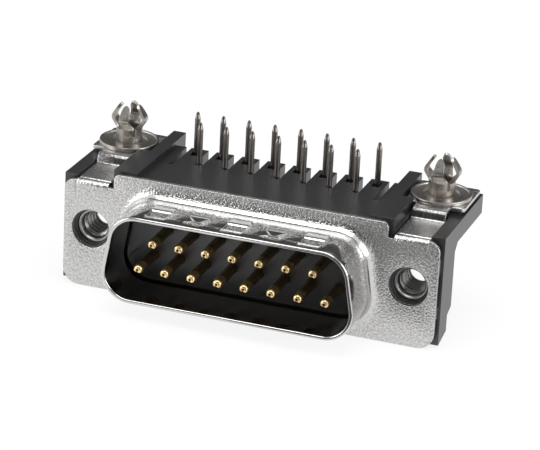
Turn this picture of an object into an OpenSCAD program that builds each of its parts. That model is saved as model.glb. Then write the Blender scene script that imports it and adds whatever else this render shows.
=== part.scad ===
// Right-angle board connector with a drawn D-shaped shell, male contacts and board locks.
// Origin: centre of the D opening, on the front face of the flange.
// +X to the right, +Y away from the mating side, +Z towards the circuit board.

/* [Sheet metal] */
// Thickness of the shell and plate sheet
sheet_t = 0.4; // [0.3:0.05:0.45]
// Width of the flange, end to end
flange_w = 39.14; // [38.8:0.02:39.4]
// Height of the flange in the middle
flange_h = 12.5; // [12.2:0.05:12.8]
// Height of the flange's shorter ends above the centre line
end_top = 5.05; // [4.8:0.05:5.2]
// Half width of the taller middle part of the flange
mid_half_w = 14.3; // [14:0.05:14.5]
// Corner radius at the flange's bottom ends
foot_r = 1.7; // [0.8:0.1:2]
// Corner radius at the flange's top ends
head_r = 1.1; // [0.6:0.1:1.3]
// Distance between the two fixing holes
hole_pitch = 33.32; // [33.2:0.02:33.4]
// Diameter of the fixing holes in the sheet
hole_d = 4.04; // [3.9:0.02:4.2]

/* [D opening] */
// Inside width of the shell at its wide side
opening_w = 25.25; // [24.8:0.05:25.4]
// Inside height of the shell
opening_h = 8.36; // [8.2:0.02:8.5]
// Inside corner radius of the shell
opening_r = 2.6; // [2.2:0.1:3]
// Lean of the shell's two ends, in degrees
side_lean = 10; // [6:1:12]
// Distance that the shell stands in front of the flange
shell_depth = 5.9; // [5.4:0.1:6.4]
// Radius of the drawn root between the shell and the flange
root_r = 1.2; // [0.8:0.1:1.3]

/* [Grip dimples] */
// Distance between neighbouring dimples
dimple_pitch = 3.95; // [3.4:0.05:4.2]
// Width of a dimple
dimple_w = 2.2; // [1.4:0.1:2.6]
// Length of a dimple along the shell
dimple_l = 1.6; // [1:0.1:2]
// Depth of a dimple
dimple_deep = 0.14; // [0.05:0.01:0.18]
// Distance from the shell's mouth to the middle of the dimples
dimple_back = 2.1; // [1.6:0.1:2.6]

/* [Contacts] */
// Distance between neighbouring contacts in a row
contact_pitch = 2.77; // [2.7:0.01:2.8]
// Distance between the two rows of contacts
row_gap = 2.84; // [2.7:0.02:2.9]
// Diameter of the mating pins
pin_d = 1.02; // [0.9:0.01:1.1]
// Distance from the flange's front face to the tips of the mating pins
pin_reach = 4.6; // [4:0.1:5]
// Diameter of the solder tails
tail_d = 0.6; // [0.5:0.02:0.7]
// Distance from the flange's front face to the nearer row of tails
tail_y = 8; // [7.8:0.1:8.6]
// Distance between the two rows of tails
tail_gap = 2.84; // [2.5:0.02:2.9]
// Height of the tails' tips above the centre line
tail_top = 10.1; // [9.5:0.1:12]
// Length of the taper at a tail's tip
tail_taper = 0.7; // [0.5:0.1:1.5]
// Bend radius of a contact, at the middle of its wire
bend_r = 0.9; // [0.6:0.1:1.2]

/* [Moulded body] */
// Half width of the moulded body
body_half_w = 19.85; // [19.7:0.05:20]
// Thickness of the upright wall behind the flange
wall_t = 3.8; // [3.4:0.1:4]
// Underside of the shelf above the centre line
shelf_low = 3.3; // [3:0.1:3.6]
// Top of the side arms above the centre line
arm_top = 5.3; // [5.2:0.05:5.4]
// Top of the comb above the centre line
comb_top = 5.7; // [5.6:0.05:6]
// Top of the two ribs, where the circuit board seats
board_z = 6.45; // [6.4:0.05:6.6]
// Distance from the flange's front face to the ends of the arms
arm_reach = 13.9; // [13.5:0.1:14.4]
// Distance from the flange's front face to the ends of the comb's fingers
comb_reach = 11.9; // [11.6:0.1:12.4]
// Width of a gap between two fingers
comb_gap = 0.9; // [0.7:0.05:1.1]

/* [Board locks] */
// Distance from the flange's front face to the axis of the board locks
lock_y = 9.72; // [9.5:0.02:10]
// Diameter of a board lock's barrel
lock_d = 2.7; // [2.4:0.1:2.8]
// Wall thickness of the barrel and the prongs
lock_t = 0.35; // [0.25:0.05:0.45]
// Diameter of a board lock's washer
washer_d = 6.1; // [5.6:0.1:6.4]
// Largest radius of the sprung prongs
prong_r = 1.95; // [1.7:0.05:2.2]
// Height of the prongs' tips above the centre line
prong_top = 10.3; // [9.8:0.1:11]
// Width of a prong
prong_w = 1.1; // [0.8:0.1:1.3]

/* [Threaded inserts] */
// Diameter of the threaded bore
thread_d = 2.84; // [2.5:0.02:3]
// Diameter of the insert's nose
nose_d = 3.5; // [3.3:0.1:3.9]
// Diameter of the insert's body
insert_d = 4.2; // [4:0.1:4.6]
// Diameter of the insert's rear collar
collar_d = 4.9; // [4.8:0.1:5]

/* [Hidden] */
upper_count = 7;
lower_count = 8;
PINS = ["pin_01", "pin_02", "pin_03", "pin_04", "pin_05", "pin_06", "pin_07", "pin_08",
        "pin_09", "pin_10", "pin_11", "pin_12", "pin_13", "pin_14", "pin_15"];

// Clearances: a push fit between pieces, and a cut's run past a surface
fit = 0.02;
past = 1;

// Depths behind the flange's front face, sheet by sheet
back_shell_y = 2 * sheet_t;
wall_back = back_shell_y + wall_t;
pocket_back = back_shell_y + 2.4;
insulator_y = -0.2;
shoulder_y = pocket_back - 1.2;

// Outline of the D: corner centres, named by their side and level
wide_x = opening_w / 2 - opening_r;
level = opening_h / 2 - opening_r;
narrow_x = wide_x - 2 * level * tan(side_lean);
skirt = 0.9;
// Its four rounded corners, anticlockwise: centre, where the turn starts and its sweep
D_TURNS = [[[wide_x, -level], -90, 90 + side_lean], [[narrow_x, level], side_lean, 90 - side_lean],
           [[-narrow_x, level], 90, 90 - side_lean], [[-wide_x, -level], 180 - side_lean, 90 + side_lean]];
corner_steps = 10;
// Every station round the D: a corner's centre and the way it faces
D_ROUND = [for (k = D_TURNS) for (i = [0 : corner_steps]) [k[0], k[1] + k[2] * i / corner_steps]];
function d_point(k, g) = k[0] + (opening_r + g) * [cos(k[1]), sin(k[1])];

// Drawn shell, outside and inside, as levels of [outline growth, depth] from the root to the mouth.
// The two coves share a centre line, one sheet apart; lip is the step left at the flange.
root_x = sheet_t + root_r;
lip = 0.02;
cove_turns = [for (i = [0 : 6]) 90 + 15 * i];
OUTSIDE = concat([[root_x, sheet_t / 2]],
    [for (t = cove_turns) [root_x + root_r * cos(t), root_r * (sin(t) - 1) - lip]],
    [[sheet_t, -shell_depth]]);
INSIDE = concat([[root_x - lip, sheet_t + past]],
    [for (t = cove_turns) [root_x - lip + (root_x - lip) * cos(t), root_x * sin(t) - root_r - lip]],
    [[0, -shell_depth - past]]);

// How much smaller a dimple is inside the shell than outside
dimple_trim = 0.3;

// Ground strap, from the flange's top edge back to the board lock
strap_w = 3.5;
strap_bend = sheet_t + 0.3;
strap_step_y = back_shell_y + 4.65;
strap_step = 0.4;
plate_top = board_z - 0.45;
plate_w = 6.2;
plate_front = lock_y - 2.4;
plate_back = lock_y + 3.5;
strap_low = end_top - sheet_t;
under_plate = plate_top - sheet_t;
strap_half = strap_w / 2 + 0.1;

// Crimp tabs on the flange's ends: middle height and length of each
crimp_tabs = [[2.3, 1.7], [-2.5, 1.3]];
crimp_edge = flange_w / 2 - sheet_t;

// Ribs and comb of the moulded body
finger_half = (contact_pitch - comb_gap) / 2;
rib_in = 12.07;
rib_out = 13.4;
rib_foot_out = hole_pitch / 2 - strap_half - 0.2;
rib_foot_back = plate_front - 0.3;
slot_w = 0.8;
slot_front = 0.95;
slot_back = 0.5;
end_gap = 0.55;
end_gap_front = tail_y - 1.4;
lock_low = shelf_low - 0.35;
barrel_top = board_z + 1.35;
belly_z = barrel_top + 0.8;

// X of contact i in a row of n
function row_x(i, n) = (i - (n - 1) / 2) * contact_pitch;

// Each contact's [x, height, distance back to its tail]
contacts = concat(
    [for (i = [0 : upper_count - 1]) [row_x(i, upper_count), row_gap / 2, tail_y]],
    [for (i = [0 : lower_count - 1]) [row_x(i, lower_count), -row_gap / 2, tail_y + tail_gap]]);

steel = [0.78, 0.77, 0.74];
black = [0.13, 0.13, 0.14];
gold = [0.86, 0.68, 0.34];
tin = [0.5, 0.48, 0.45];

// Turns a flat XY drawing into a slab between two depths, with its Y as height
module slab(y0, y1) {
    translate([0, y1, 0]) rotate([90, 0, 0]) linear_extrude(y1 - y0) children();
}

// Turns a drawing of (depth, height) into a bar between two X positions
module bar(x0, x1) {
    translate([x0, 0, 0]) rotate([90, 0, 90]) linear_extrude(x1 - x0) children();
}

module block(x0, x1, y0, y1, z0, z1) {
    translate([x0, y0, z0]) cube([x1 - x0, y1 - y0, z1 - z0]);
}

// A round bar or bore along Y between two depths
module bore(x, z, y0, y1, r) {
    translate([x, y1, z]) rotate([90, 0, 0]) cylinder(h = y1 - y0, r = r, $fn = 48);
}

module both_sides() {
    children();
    mirror([1, 0, 0]) children();
}

// Rectangle with its lower and upper corners rounded by their own radii
module rounded(half_w, low, high, low_r, high_r) {
    mid = (low + high) / 2;
    for (end = [[low, mid, low_r, 1], [high, mid, high_r, -1]]) {
        inner = end[0] + end[3] * end[2];
        translate([-half_w + end[2], min(end[0], mid)]) square([2 * (half_w - end[2]), abs(mid - end[0])]);
        translate([-half_w, min(inner, mid)]) square([2 * half_w, abs(mid - inner)]);
        for (s = [-1, 1]) translate([s * (half_w - end[2]), inner]) circle(r = end[2], $fn = 48);
    }
}

// The D outline, grown outwards by g
module d_outline(g) {
    polygon([for (k = D_ROUND) d_point(k, g)]);
}

// A solid that carries the D outline through levels, each [outline growth, depth], back to front
module tub(levels) {
    turns = len(D_ROUND);
    last = (len(levels) - 1) * turns;
    points = [for (s = levels) for (k = D_ROUND) let (p = d_point(k, s[0])) [p[0], s[1], p[1]]];
    sides = [for (j = [0 : len(levels) - 2]) for (i = [0 : turns - 1])
        let (a = j * turns + i, b = j * turns + (i + 1) % turns)
        each [[a, b + turns, b], [a, a + turns, b + turns]]];
    caps = [[for (i = [0 : turns - 1]) i], [for (i = [turns - 1 : -1 : 0]) last + i]];
    polyhedron(points, concat(caps, sides));
}

// Outline shared by the flange and the plate behind it
module flange_outline(inset, ends_top, mid_top) {
    rounded(flange_w / 2 - inset, -flange_h / 2 + inset, ends_top, foot_r, head_r);
    translate([-mid_half_w + inset, 0]) square([2 * (mid_half_w - inset), mid_top - 0.6]);
    translate([-mid_half_w + inset + 0.6, 0]) square([2 * (mid_half_w - inset - 0.6), mid_top]);
    for (s = [-1, 1]) translate([s * (mid_half_w - inset - 0.6), mid_top - 0.6]) circle(r = 0.6, $fn = 32);
}

module front_shell() {
    color(steel) {
        difference() {
            union() {
                slab(0, sheet_t) flange_outline(0, end_top, flange_h / 2);
                tub(OUTSIDE);
            }
            tub(INSIDE);
            for (up = [0, 1]) mirror([0, 0, up]) dimple_row(opening_h / 2 + sheet_t - dimple_deep, past, 0);
            for (s = [-1, 1]) bore(s * hole_pitch / 2, 0, -past, past, hole_d / 2);
            both_sides() {
                block((hole_pitch - strap_w) / 2, (hole_pitch + strap_w) / 2,
                      -past, past, end_top - strap_bend, end_top + past);
                block(mid_half_w, (hole_pitch - strap_w) / 2, -past, past, end_top - 0.35, board_z);
            }
        }
        both_sides() {
            ground_strap();
            for (tab = crimp_tabs)
                block(crimp_edge, flange_w / 2, sheet_t, back_shell_y,
                      tab[0] - tab[1] / 2, tab[0] + tab[1] / 2);
        }
        for (up = [0, 1]) mirror([0, 0, up]) dimple_row(opening_h / 2 - dimple_deep, 0.1, dimple_trim);
    }
}

// A row of five blocks on one long side of the shell: from a height, by a thickness, cut in at the edges
module dimple_row(z, thick, trim) {
    middle = dimple_back - shell_depth;
    for (i = [-2 : 2])
        block(i * dimple_pitch - dimple_w / 2 + trim, i * dimple_pitch + dimple_w / 2 - trim,
              middle - dimple_l / 2 + trim, middle + dimple_l / 2 - trim, z, z + thick + dimple_deep);
}

// Strap bent back from the flange's top edge: bend, low flat, step and lock plate
module ground_strap() {
    x = hole_pitch / 2;
    bend_z = end_top - strap_bend;
    difference() {
        union() {
            bar(x - strap_w / 2, x + strap_w / 2) {
                intersection() {
                    difference() {
                        translate([strap_bend, bend_z]) circle(r = strap_bend, $fn = 48);
                        translate([strap_bend, bend_z]) circle(r = strap_bend - sheet_t, $fn = 48);
                    }
                    translate([0, bend_z]) square(strap_bend);
                }
                polygon([[strap_bend, end_top], [strap_bend, strap_low],
                         [strap_step_y + 0.27, strap_low], [strap_step_y + strap_step + 0.27, under_plate],
                         [plate_back, under_plate], [plate_back, plate_top],
                         [strap_step_y + strap_step, plate_top], [strap_step_y, end_top]]);
            }
            block(x - plate_w / 2, x + plate_w / 2, plate_front, plate_back, under_plate, plate_top);
        }
        translate([x, lock_y, 0]) cylinder(h = 4 * board_z, r = lock_d / 2 + fit, center = true, $fn = 48);
    }
}

module rear_shell() {
    color(steel) difference() {
        slab(sheet_t, back_shell_y)
            flange_outline(sheet_t + 0.05, end_top - strap_bend - 0.05, flange_h / 2 - 0.15);
        slab(0, 2 * sheet_t + past) d_outline(skirt + fit);
        for (s = [-1, 1]) bore(s * hole_pitch / 2, 0, -past, past + sheet_t, hole_d / 2);
    }
}

module front_insulator() {
    color(black) difference() {
        union() {
            slab(insulator_y, sheet_t) d_outline(-0.05);
            slab(sheet_t, pocket_back) d_outline(skirt);
        }
        for (c = contacts) {
            bore(c[0], c[1], insulator_y - past, shoulder_y, pin_d / 2 + fit);
            bore(c[0], c[1], 0, pocket_back + past, tail_d / 2 + 2 * fit);
        }
    }
}

// Angle section of the moulded body: upright wall, stepped foot, shelf and inside fillet
module body_section(reach, top) {
    foot = -flange_h / 2;
    fillet = 0.8;
    polygon([[back_shell_y, foot + 0.3], [wall_back - 1.2, foot + 0.85], [wall_back - 1.2, foot + 2.55],
             [wall_back, foot + 3.05], [wall_back, shelf_low - fillet], [wall_back + fillet, shelf_low],
             [reach, shelf_low], [reach, top], [back_shell_y, top]]);
}

module rear_body() {
    color(black) difference() {
        union() {
            bar(-body_half_w, body_half_w) body_section(comb_reach, arm_top);
            both_sides() {
                block(rib_in, body_half_w, wall_back, arm_reach, shelf_low, arm_top);
                block(rib_in, rib_out, back_shell_y, arm_reach, shelf_low, board_z);
                block(rib_in, rib_foot_out, back_shell_y, rib_foot_back, shelf_low, board_z);
                block(rib_out, body_half_w - 0.5, plate_front + 0.1, arm_reach, shelf_low, under_plate);
            }
            block(-rib_in, rib_in, back_shell_y, comb_reach, shelf_low, comb_top);
        }
        both_sides() strap_channel();
        slab(0, pocket_back) d_outline(skirt + fit);
        for (s = [-1, 1]) {
            insert_hole(s * hole_pitch / 2);
            translate([s * hole_pitch / 2, lock_y, 0])
                cylinder(h = board_z + past, r = lock_d / 2 + fit, $fn = 48);
        }
        for (c = contacts) bore(c[0], c[1], 0, wall_back + past, tail_d / 2 + 2 * fit);
        comb_cuts();
    }
}

// Room for the ground strap in the body's arm
module strap_channel() {
    block(hole_pitch / 2 - strap_half, hole_pitch / 2 + strap_half, 0,
          strap_step_y + strap_step + 0.4, strap_low, board_z + past);
}

// Stepped hole for a threaded insert
module insert_hole(x) {
    bore(x, 0, 0, wall_back + past, nose_d / 2 + fit);
    bore(x, 0, back_shell_y + 1.1, wall_back + past, insert_d / 2 + fit);
}

// Gaps between the fingers, with a nearer tail at each gap's end, and a slot in each finger
module comb_cuts() {
    gap_front = tail_y - comb_gap / 2;
    for (i = [0 : upper_count - 1]) {
        x = row_x(i, upper_count);
        block(x - comb_gap / 2, x + comb_gap / 2, gap_front, comb_reach + past, 0, board_z);
    }
    for (i = [0 : lower_count - 1]) {
        x = row_x(i, lower_count);
        block(x - slot_w / 2, x + slot_w / 2, tail_y + tail_gap - slot_front,
              tail_y + tail_gap + slot_back, 0, board_z);
    }
    edge = row_x(lower_count - 1, lower_count) + finger_half;
    both_sides() block(edge, edge + end_gap, end_gap_front, comb_reach + past, 0, board_z);
}

// Threaded insert: nose towards the flange, collar behind the wall
module insert(x) {
    nose_y = back_shell_y + 0.2;
    color(steel) difference() {
        union() {
            bore(x, 0, nose_y, wall_back, nose_d / 2);
            bore(x, 0, back_shell_y + 1.1, wall_back, insert_d / 2);
            bore(x, 0, wall_back, wall_back + 0.5, collar_d / 2);
        }
        bore(x, 0, 0, wall_back + past, thread_d / 2);
    }
}

// Board lock: dished washer on the strap, barrel swaged under the shelf, four sprung prongs
module board_lock(x) {
    r = lock_d / 2;
    rim = washer_d / 2;
    color(tin) translate([x, lock_y, 0]) {
        rotate_extrude($fn = 96) {
            polygon([[r - lock_t, lock_low], [r + 0.45, lock_low], [r + 0.55, shelf_low], [r, shelf_low],
                     [r, plate_top], [rim - 0.1, plate_top], [rim, plate_top + 0.1], [rim, board_z - 0.1],
                     [rim - 0.1, board_z], [rim - 0.3, board_z], [rim - 0.6, board_z - 0.2],
                     [r, board_z - 0.25], [r, barrel_top], [r - lock_t, barrel_top]]);
        }
        for (a = [0 : 90 : 270]) rotate([0, 0, a]) rotate([90, 0, 0])
            translate([0, 0, -prong_w / 2]) linear_extrude(prong_w)
                polygon([[r - lock_t, barrel_top - 0.6], [r - 0.02, barrel_top - 0.6],
                         [r - 0.02, barrel_top], [prong_r, belly_z], [prong_r - 0.05, belly_z + 0.25],
                         [0.95, prong_top], [0.7, prong_top - 0.05],
                         [prong_r - lock_t - 0.1, belly_z + 0.05], [r - lock_t, barrel_top + 0.15]]);
    }
}

// One contact: rounded mating pin, wire through the body, bend and tapered solder tail
module contact(c) {
    tail_r = tail_d / 2;
    translate([c[0], 0, c[1]]) {
        color(gold) {
            translate([0, pin_d / 2 - pin_reach, 0]) sphere(r = pin_d / 2, $fn = 48);
            bore(0, 0, pin_d / 2 - pin_reach, shoulder_y, pin_d / 2);
        }
        color(tin) {
            bore(0, 0, shoulder_y, c[2] - bend_r, tail_r);
            translate([0, c[2] - bend_r, bend_r]) rotate([90, 0, 90]) rotate([0, 0, -90])
                rotate_extrude(angle = 90, $fn = 96) translate([bend_r, 0]) circle(r = tail_r, $fn = 32);
            translate([0, c[2], bend_r])
                cylinder(h = tail_top - tail_taper - bend_r - c[1], r = tail_r, $fn = 32);
            translate([0, c[2], tail_top - tail_taper - c[1]])
                cylinder(h = tail_taper, r1 = tail_r, r2 = 0.14, $fn = 32);
        }
    }
}

front_shell();
rear_shell();
front_insulator();
rear_body();
insert(-hole_pitch / 2);  // left_insert
insert(hole_pitch / 2);  // right_insert
board_lock(-hole_pitch / 2);  // left_board_lock
board_lock(hole_pitch / 2);  // right_board_lock
for (i = [0 : len(PINS) - 1]) contact(contacts[i]);
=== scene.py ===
"""Finishes a right-angle board connector: metals, mouldings, threads and the stage it stands on."""
import math

import bmesh
import bpy
import numpy as np
from bpy.props import FloatProperty, FloatVectorProperty, PointerProperty
from bpy.types import Operator, Panel, PropertyGroup
from mathutils import Matrix, Vector
from mathutils.geometry import delaunay_2d_cdt


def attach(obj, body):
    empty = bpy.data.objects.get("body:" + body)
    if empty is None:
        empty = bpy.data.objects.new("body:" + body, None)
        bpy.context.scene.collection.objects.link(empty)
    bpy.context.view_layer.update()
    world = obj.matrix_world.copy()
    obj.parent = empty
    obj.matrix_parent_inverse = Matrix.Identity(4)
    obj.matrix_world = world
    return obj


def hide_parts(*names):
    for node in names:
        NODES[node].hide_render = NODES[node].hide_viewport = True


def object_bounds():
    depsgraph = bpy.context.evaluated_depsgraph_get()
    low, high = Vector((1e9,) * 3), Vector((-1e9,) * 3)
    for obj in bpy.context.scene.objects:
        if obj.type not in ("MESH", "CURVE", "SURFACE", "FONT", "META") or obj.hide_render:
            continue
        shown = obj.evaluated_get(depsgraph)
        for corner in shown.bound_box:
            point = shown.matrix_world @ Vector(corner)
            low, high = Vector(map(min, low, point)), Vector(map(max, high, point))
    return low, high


bl_info = {
    "name": "Board Connector Finish",
    "version": (1, 0, 0),
    "blender": (4, 5, 0),
    "location": "View3D > Sidebar > Connector",
    "description": "Dresses a right-angle board connector in its metals and mouldings and sets its stage",
    "category": "Object",
}

MM = 0.001
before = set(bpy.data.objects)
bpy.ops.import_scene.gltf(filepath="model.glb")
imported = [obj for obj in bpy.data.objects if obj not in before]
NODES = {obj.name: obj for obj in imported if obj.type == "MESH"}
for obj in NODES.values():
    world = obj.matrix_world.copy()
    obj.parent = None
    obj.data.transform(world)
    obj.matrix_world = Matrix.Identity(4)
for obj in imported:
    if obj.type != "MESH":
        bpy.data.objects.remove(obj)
CAD_BOX = [list(corner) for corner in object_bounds()]
BODY = "root"
PINS = sorted(name for name in NODES if name.startswith("pin_"))
UPPER_PINS, LOWER_PINS = 7, 8

# Sizes, listed in millimetres and kept in metres. Depths (_y, _front, _back) are behind the flange's front
# face, and heights are above the opening's centre
SHAPE = {name: value * MM for name, value in {
    # Flange and drawn wall
    "sheet": 0.4, "flange_w": 39.14, "flange_h": 12.5, "end_top": 5.05, "mid_half_w": 14.3,
    "foot_r": 1.7, "end_r": 1.1, "mid_r": 0.6, "pitch": 33.32, "hole_d": 4.04,
    "opening_w": 25.25, "opening_h": 8.36, "opening_r": 2.6,
    "shell_depth": 5.9, "root_r": 1.2, "root_x": 1.6, "mouth_r": 0.16,
    "dimple_pitch": 3.95, "dimple_w": 2.2, "dimple_l": 1.6, "dimple_deep": 0.14, "dimple_y": -3.8,
    # Straps, and the board locks that hold their plates
    "strap_w": 3.5, "step_y": 5.45, "plate_top": 6.0, "plate_w": 6.2, "plate_front": 7.32,
    "plate_back": 13.22, "lock_y": 9.72, "lock_d": 2.7, "washer_d": 6.1, "board_z": 6.45,
    "prong_thick": 0.3,
    # Threaded inserts
    "thread_d": 2.84, "thread_deep": 0.30, "thread_pitch": 0.635, "nose_d": 3.5, "barrel_d": 4.2,
    "rim_d": 4.9, "insert_front": 1.0, "insert_back": 5.1, "shoulder_y": 1.9, "rim_y": 4.6,
    # Contacts
    "contact_pitch": 2.77, "row_gap": 2.84, "pin_d": 1.02, "pin_reach": 4.6, "pin_back": 2.0,
    "tail_d": 0.6, "tail_y": 8.0, "tail_gap": 2.84, "tail_top": 10.1, "tail_taper": 0.7,
    "tail_bend": 0.9}.items()}
WALL_LEAN = math.radians(10.0)
SIDES = (("left", -1), ("right", 1))

# Grip dimples: their places in pitches from the middle, the stations across a dimple's rounded edge, how deep
# a trough is against a flat dimple, and how much of the lower row shows on the inside
DIMPLES = range(-2, 3)
DIMPLE_RAMP = np.array([0.0, 0.04, 0.08, 0.12, 0.16]) * MM
TROUGH_DEPTH = 1.5
LOWER_DIMPLE_INSIDE = 0.1

# Profiles in millimetres: (radius, back from the tip) of the pin, and (out, up) from a radius and a height of
# the others
PIN_NOSE = ((0.0, 0.40), (0.10, 0.40), (0.11, 0.05), (0.14, 0.01), (0.20, 0.0), (0.33, 0.05), (0.42, 0.15),
            (0.475, 0.30), (0.49, 0.5), (0.49, 1.25))
TAIL_BASE = ((-0.004, -0.05), (-0.004, 0.0), (-0.02, 0.06))
TAIL_POINT = ((0.17, -0.16), (0.11, -0.02), (0.07, 0.0), (0.0, 0.0))
LOCK_FOOT = ((0.38, 2.97), (0.5, 3.1), (0.5, 3.28), (0.0, 3.3))
WASHER_UNDER = ((-0.10, 0.0), (-0.02, 0.06), (0.0, 0.16))
WASHER_RIM = ((0.0, -0.12), (-0.03, -0.03), (-0.08, 0.0), (-0.20, 0.0), (-0.26, -0.04), (-0.30, -0.13),
              (-0.36, -0.14))
WASHER_DISH = ((0.62, -0.12), (0.52, -0.15), (0.46, -0.28), (0.12, -0.31), (0.0, -0.28))
BARREL_TOP = ((0.0, 7.03), (-0.01, 7.04))
BARREL_BORE = ((0.05, 7.04), (0.0, 6.98))

# Half width of a prong, in millimetres, at shares of its run
PRONG_RUN = (0.0, 0.3, 0.42, 0.66, 0.86, 0.95, 1.0)
PRONG_HALF_WIDTH = (0.86, 0.84, 0.60, 0.50, 0.40, 0.27, 0.06)

# Straps: (back, up) of the pressed groove's three corners and the radius of each bend, and the crimp tabs'
# (height of the middle, tallness), in millimetres
STRAP_GROOVE = ((0.72, 0.0), (0.90, -0.14), (1.10, 0.0))
STRAP_BENDS = (0.3, 0.12, 0.10, 0.12, 0.45, 0.45)
CRIMP_TABS = ((2.3, 1.7), (-2.5, 1.3))

# Depths of the finishes' reliefs, a moulded edge's radius in shading, and how far plate's roughness varies
FINE_RELIEF, MARK_RELIEF, REAR_RELIEF, SHELL_RELIEF = 0.004 * MM, 0.012 * MM, 0.02 * MM, 0.03 * MM
EDGE_ROUND = 0.09 * MM
GLOSS_SPREAD = 0.08

# Stage: (name, lowest degree, highest degree, half width) of each card on its bow, (name, place, side, watts)
# of each lamp, and the share of white in the floor where it is seen
CARD_BOWS = (("card_behind", 1.0, 37.0, 0.65), ("card_above", 48.0, 80.0, 0.5),
             ("card_front", 124.0, 182.0, 0.5))
CARD_DISTANCE = 0.6
LOW_CARD_X, LOW_CARD_Y = (-2 * MM, 27 * MM), (-110 * MM, -11 * MM)
LAMPS = (("overhead", (0.0, -0.10, 0.55), 0.45, 2.2), ("left", (-0.55, -0.35, 0.25), 0.40, 1.6),
         ("right", (0.55, -0.05, 0.22), 0.35, 1.8))
FLOOR_HALF, FLOOR_GAP = 1.5, 0.05 * MM
FLOOR_SHARE = 0.85


# ---------------------------------------------------------------- settings

class MetalSettings(PropertyGroup):
    """Colours and finish of the plated parts."""
    shell_color: FloatVectorProperty(
        name="Shell", description="Colour of the tin-plated shell", subtype="COLOR", size=3,
        default=(0.62, 0.615, 0.605), min=0.0, max=1.0)
    lock_color: FloatVectorProperty(
        name="Board lock", description="Colour of the board locks", subtype="COLOR", size=3,
        default=(0.42, 0.395, 0.365), min=0.0, max=1.0)
    insert_color: FloatVectorProperty(
        name="Insert", description="Colour of the threaded inserts", subtype="COLOR", size=3,
        default=(0.36, 0.36, 0.35), min=0.0, max=1.0)
    gold_color: FloatVectorProperty(
        name="Gold", description="Colour of the mating pins", subtype="COLOR", size=3,
        default=(0.94, 0.70, 0.36), min=0.0, max=1.0)
    tail_color: FloatVectorProperty(
        name="Tail", description="Colour of the solder tails", subtype="COLOR", size=3,
        default=(0.30, 0.28, 0.26), min=0.0, max=1.0)
    grain_size: FloatProperty(
        name="Grain", description="Width of one grain of the flange's texture", subtype="DISTANCE",
        unit="LENGTH", default=0.22 * MM, min=0.05 * MM, max=2.0 * MM)


class MouldingSettings(PropertyGroup):
    """Colour and finish of the black mouldings."""
    body_color: FloatVectorProperty(
        name="Body", description="Colour of the moulded body", subtype="COLOR", size=3,
        default=(0.011, 0.011, 0.0125), min=0.0, max=1.0)
    roughness: FloatProperty(
        name="Roughness", description="How matt the mouldings are", subtype="FACTOR",
        default=0.34, min=0.0, max=1.0)


class StageSettings(PropertyGroup):
    """Camera, lights and floor."""
    azimuth: FloatProperty(
        name="Azimuth", description="Camera's turn round the part", subtype="ANGLE", unit="ROTATION",
        default=math.radians(18.74))
    elevation: FloatProperty(
        name="Elevation", description="Camera's height above the horizon", subtype="ANGLE",
        unit="ROTATION", default=math.radians(22.01))
    roll: FloatProperty(
        name="Roll", description="Camera's lean", subtype="ANGLE", unit="ROTATION",
        default=math.radians(2.88))
    distance: FloatProperty(
        name="Distance", description="Camera's distance from the centre of the opening",
        subtype="DISTANCE", unit="LENGTH", default=285.7 * MM, min=0.05, max=2.0)
    across: FloatProperty(
        name="Across", description="Camera's step to the right", subtype="DISTANCE", unit="LENGTH",
        default=2.31 * MM, min=-0.1, max=0.1)
    up: FloatProperty(
        name="Up", description="Camera's step upwards", subtype="DISTANCE", unit="LENGTH",
        default=3.19 * MM, min=-0.1, max=0.1)
    lens: FloatProperty(
        name="Lens", description="Focal length in millimetres", default=193.6, min=20.0, max=500.0)
    ambient: FloatProperty(
        name="Ambient", description="Strength of the light from all round", default=0.55, min=0.0, max=4.0)


# ---------------------------------------------------------------- materials

def new_material(name):
    """An empty node material: returns it with its node tree and principled shader."""
    material = bpy.data.materials.new(name)
    material.use_nodes = True
    tree = material.node_tree
    return material, tree, tree.nodes["Principled BSDF"]


def feed(tree, node, inputs):
    """Puts a node's output, a plain number or a plain colour on each named or numbered input of a node."""
    for key, value in inputs.items():
        socket = node.inputs[key]
        if isinstance(value, bpy.types.NodeSocket):
            tree.links.new(value, socket)
        else:
            socket.default_value = (*value, 1.0) if socket.type == "RGBA" else value


def add_node(tree, kind, inputs, **settings):
    """A new node of a kind, with its settings made and its inputs fed."""
    node = tree.nodes.new(kind)
    for name, value in settings.items():
        setattr(node, name, value)
    feed(tree, node, inputs)
    return node


def object_coords(tree):
    """Coordinates on the piece itself, in metres."""
    return tree.nodes.new("ShaderNodeTexCoord").outputs["Object"]


def along(tree, coords, axis):
    """How far a point lies along one axis."""
    return add_node(tree, "ShaderNodeSeparateXYZ", {"Vector": coords}).outputs[axis]


def noise(tree, coords, size, detail=3.0, roughness=0.5):
    """Noise whose cells are about that size, in metres."""
    node = add_node(tree, "ShaderNodeTexNoise", {
        "Vector": coords, "Scale": 1.0 / size, "Detail": detail, "Roughness": roughness})
    return node.outputs["Fac"]


def band(tree, value, start, end, low=0.0, high=1.0):
    """Turns value's run from start to end into low..high, held at both ends."""
    node = add_node(tree, "ShaderNodeMapRange", {
        "Value": value, "From Min": start, "From Max": end, "To Min": low, "To Max": high})
    return node.outputs["Result"]


def ramp(tree, value, low, high):
    """Maps 0..1 of value to low..high."""
    return band(tree, value, 0.0, 1.0, low, high)


def calc(tree, operation, a, b):
    """Two values multiplied, or the larger of them, as the operation says."""
    return add_node(tree, "ShaderNodeMath", {0: a, 1: b}, operation=operation).outputs[0]


def mix_color(tree, factor, a, b):
    """Blend of colours a and b, each a plain colour or a socket: 6 and 7 are the node's colour inputs."""
    return add_node(tree, "ShaderNodeMix", {"Factor": factor, 6: a, 7: b}, data_type="RGBA").outputs[2]


def shade(color, factor):
    """A colour made darker or lighter by a factor."""
    return tuple(min(1.0, c * factor) for c in color)


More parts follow.
